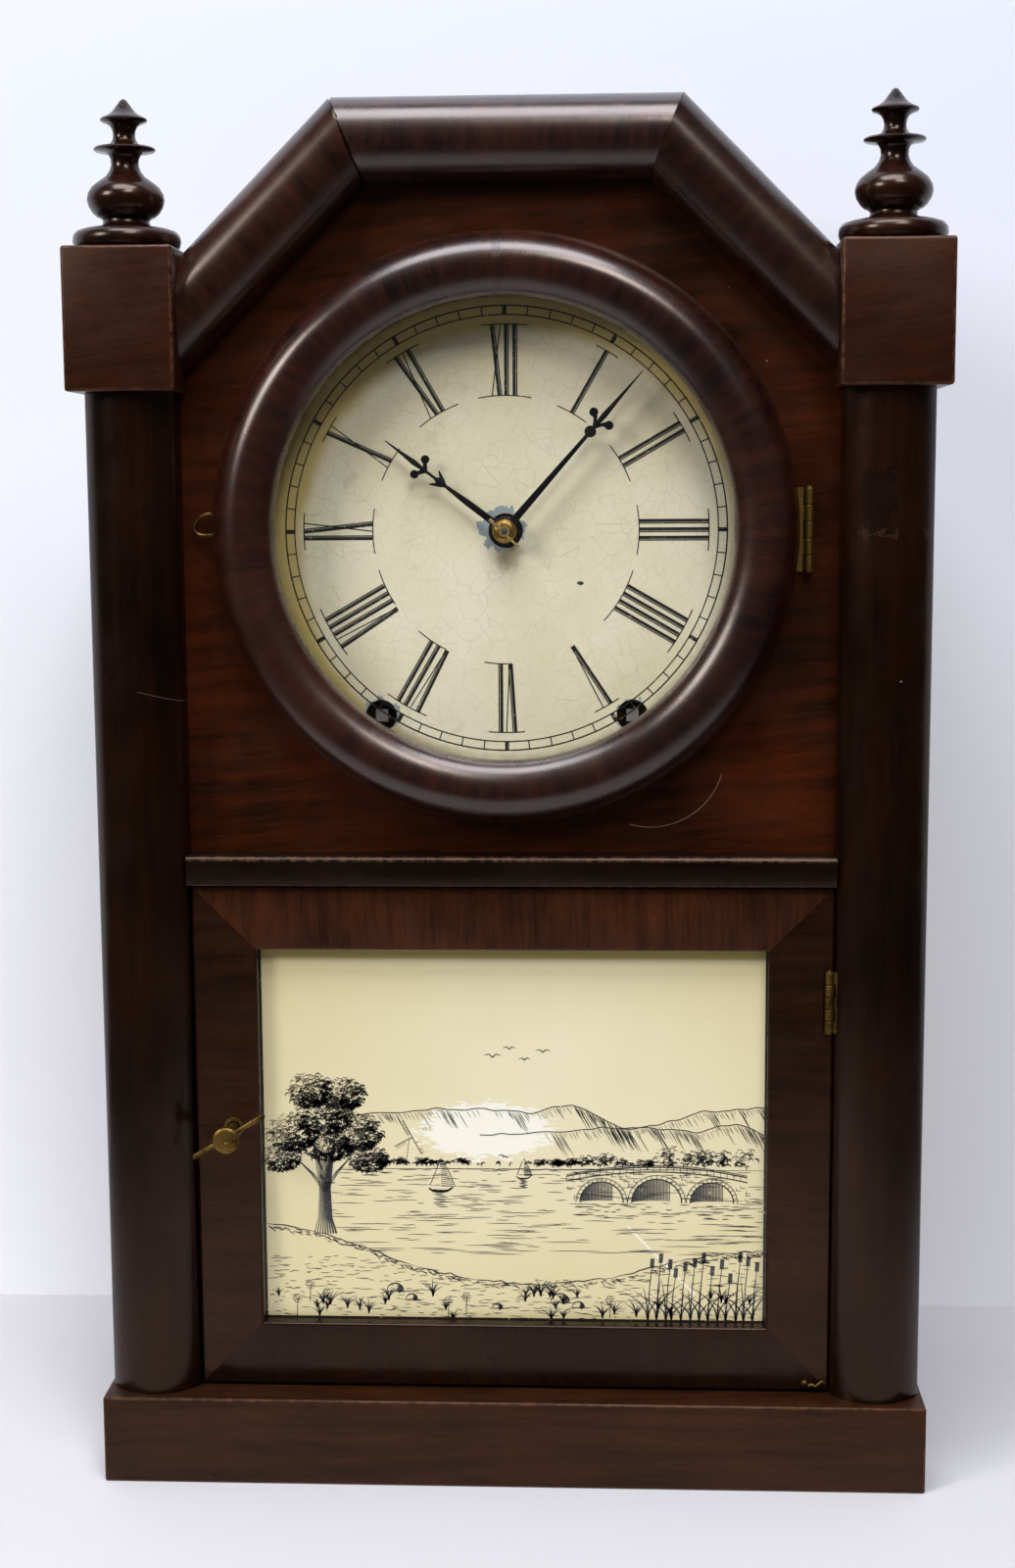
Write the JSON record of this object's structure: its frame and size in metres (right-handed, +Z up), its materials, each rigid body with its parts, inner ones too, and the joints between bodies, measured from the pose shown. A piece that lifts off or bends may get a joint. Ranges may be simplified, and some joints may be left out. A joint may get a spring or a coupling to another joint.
{
  "type": "octagon-top shelf clock",
  "caption": "Wooden shelf clock with half columns, finials, a hinged bezel over a painted dial, a lower door with a glass tablet, and a geared time and strike movement.",
  "frame": {"origin": "on the floor under the middle of the clock's bounding box", "axes": "+X to the right as seen from the front, +Y to the back, +Z up; the dial faces -Y"},
  "size_m": [0.249, 0.119, 0.4057],
  "materials": {
    "mahogany": "polished dark red-brown veneer, worn",
    "mahogany_red": "polished orange-brown veneer",
    "pine": "bare, aged",
    "brass": "tarnished",
    "steel": "dull",
    "blued_steel": "blued almost black",
    "cast_iron": "painted black, dull",
    "dial_paint": "cream paint with fine cracks",
    "glass": "clear, old",
    "tablet": "glass painted cream from behind with a line picture"
  },
  "bodies": {
    "case": {"plinth": "mahogany", "base_board": "pine", "side_board_left": "mahogany", "side_board_right": "mahogany", "roof_board_left": "mahogany", "roof_board_right": "mahogany", "roof_board_top": "mahogany", "back_board": "pine", "front_board": "mahogany_red", "column_left": "mahogany", "column_right": "mahogany", "corner_block_left": "mahogany", "corner_block_right": "mahogany", "crown_moulding_left": "mahogany", "crown_moulding_right": "mahogany", "crown_moulding_top": "mahogany", "shelf_rail": "mahogany", "finial_left": "mahogany", "finial_right": "mahogany", "bezel_hinge_plate": "brass", "door_hinge_plate": "brass", "dial": "dial_paint", "front_plate": "brass", "back_plate": "brass", "time_mainspring": "steel", "strike_mainspring": "steel", "gong_coil": "blued_steel", "gong_base": "cast_iron"},
    "bezel_door": {"bezel_ring": "mahogany", "bezel_glass": "glass", "bezel_pull": "brass", "bezel_hinge_leaf": "brass"},
    "lower_door": {"door_stile_left": "mahogany", "door_stile_right": "mahogany", "door_rail_top": "mahogany", "door_rail_bottom": "mahogany", "door_tablet": "tablet", "door_hinge_leaf": "brass"},
    "latch": {"door_knob": "brass", "knob_cross_rod": "brass", "door_latch": "brass"},
    "centre": {"centre_wheel": "brass", "minute_hand": "blued_steel"},
    "hour": {"hour_wheel": "brass", "hour_hand": "blued_steel"},
    "minute": {"minute_wheel": "brass"},
    "time_great": {"time_great_wheel": "brass"},
    "time_second": {"time_second_wheel": "brass"},
    "third": {"third_wheel": "brass"},
    "escape": {"escape_wheel": "brass"},
    "verge_body": {"verge": "steel"},
    "pendulum": {"pendulum_rod": "steel", "pendulum_bob": "brass"},
    "time_winder": {"time_winding_arbor": "steel"},
    "strike_winder": {"strike_winding_arbor": "steel"},
    "strike_great": {"strike_great_wheel": "brass"},
    "strike_second": {"strike_second_wheel": "brass"},
    "strike_third": {"strike_third_wheel": "brass"},
    "fly": {"strike_fly": "brass"},
    "hammer_body": {"hammer": "steel"}
  },
  "joints": [
    {"name": "bezel_hinge", "type": "hinge", "parent": "case", "child": "bezel_door", "pos_m": [0.0863, -0.0393, 0.2833], "axis": [0, 0, 1], "range_deg": [0, 75]},
    {"name": "door_hinge", "type": "hinge", "parent": "case", "child": "lower_door", "pos_m": [0.0933, -0.0455, 0.1461], "axis": [0, 0, 1], "range_deg": [0, 125]},
    {"name": "latch_turn", "type": "hinge", "parent": "lower_door", "child": "latch", "pos_m": [-0.0829, -0.0595, 0.107], "axis": [0, 1, 0], "range_deg": [0, 90]},
    {"name": "centre_spin", "type": "hinge", "parent": "case", "child": "centre", "pos_m": [-0.0013, 0, 0.2833], "axis": [0, 1, 0], "continuous": true},
    {"name": "hour_spin", "type": "hinge", "parent": "case", "child": "hour", "pos_m": [-0.0013, 0, 0.2833], "axis": [0, 1, 0], "continuous": true},
    {"name": "minute_wheel_spin", "type": "hinge", "parent": "case", "child": "minute", "pos_m": [0.01374, 0, 0.27783], "axis": [0, 1, 0], "continuous": true},
    {"name": "time_great_spin", "type": "hinge", "parent": "case", "child": "time_great", "pos_m": [0.0359, 0, 0.2289], "axis": [0, 1, 0], "continuous": true},
    {"name": "time_second_spin", "type": "hinge", "parent": "case", "child": "time_second", "pos_m": [0.02155, 0, 0.25816], "axis": [0, 1, 0], "continuous": true},
    {"name": "third_spin", "type": "hinge", "parent": "case", "child": "third", "pos_m": [0.00441, 0, 0.30907], "axis": [0, 1, 0], "continuous": true},
    {"name": "escape_spin", "type": "hinge", "parent": "case", "child": "escape", "pos_m": [-0.0123, 0, 0.3173], "axis": [0, 1, 0], "continuous": true},
    {"name": "pendulum_swing", "type": "hinge", "parent": "case", "child": "pendulum", "pos_m": [-0.0123, 0, 0.3353], "axis": [0, 1, 0], "range_deg": [-3.5, 3.5]},
    {"name": "verge_rock", "type": "hinge", "parent": "case", "child": "verge_body", "pos_m": [-0.0123, 0, 0.3353], "axis": [0, 1, 0], "range_deg": [-3.6, 3.6]},
    {"name": "time_winding", "type": "hinge", "parent": "case", "child": "time_winder", "pos_m": [0.0359, 0, 0.2289], "axis": [0, 1, 0], "continuous": true},
    {"name": "strike_winding", "type": "hinge", "parent": "case", "child": "strike_winder", "pos_m": [-0.0385, 0, 0.2289], "axis": [0, 1, 0], "continuous": true},
    {"name": "strike_second_spin", "type": "hinge", "parent": "case", "child": "strike_second", "pos_m": [-0.04627, 0, 0.26054], "axis": [0, 1, 0], "continuous": true},
    {"name": "strike_great_spin", "type": "hinge", "parent": "case", "child": "strike_great", "pos_m": [-0.0385, 0, 0.2289], "axis": [0, 1, 0], "continuous": true},
    {"name": "strike_third_spin", "type": "hinge", "parent": "case", "child": "strike_third", "pos_m": [-0.03808, 0, 0.28246], "axis": [0, 1, 0], "continuous": true},
    {"name": "fly_spin", "type": "hinge", "parent": "case", "child": "fly", "pos_m": [-0.03983, 0, 0.29917], "axis": [0, 1, 0], "continuous": true},
    {"name": "hammer_lift", "type": "hinge", "parent": "case", "child": "hammer_body", "pos_m": [-0.0013, 0, 0.2143], "axis": [0, 1, 0], "range_deg": [0, 20]}
  ],
  "couplings": [
    {"joint": "third_spin", "follows": "escape_spin", "ratio": -0.11111},
    {"joint": "centre_spin", "follows": "escape_spin", "ratio": 0.011111},
    {"joint": "hour_spin", "follows": "escape_spin", "ratio": 0.00092593},
    {"joint": "minute_wheel_spin", "follows": "escape_spin", "ratio": -0.0037037},
    {"joint": "time_second_spin", "follows": "escape_spin", "ratio": -0.0022222},
    {"joint": "time_great_spin", "follows": "escape_spin", "ratio": 0.00037037},
    {"joint": "verge_rock", "follows": "pendulum_swing", "ratio": 1},
    {"joint": "strike_third_spin", "follows": "fly_spin", "ratio": -0.16667},
    {"joint": "strike_second_spin", "follows": "fly_spin", "ratio": 0.033333},
    {"joint": "strike_great_spin", "follows": "fly_spin", "ratio": -0.0055556}
  ]
}
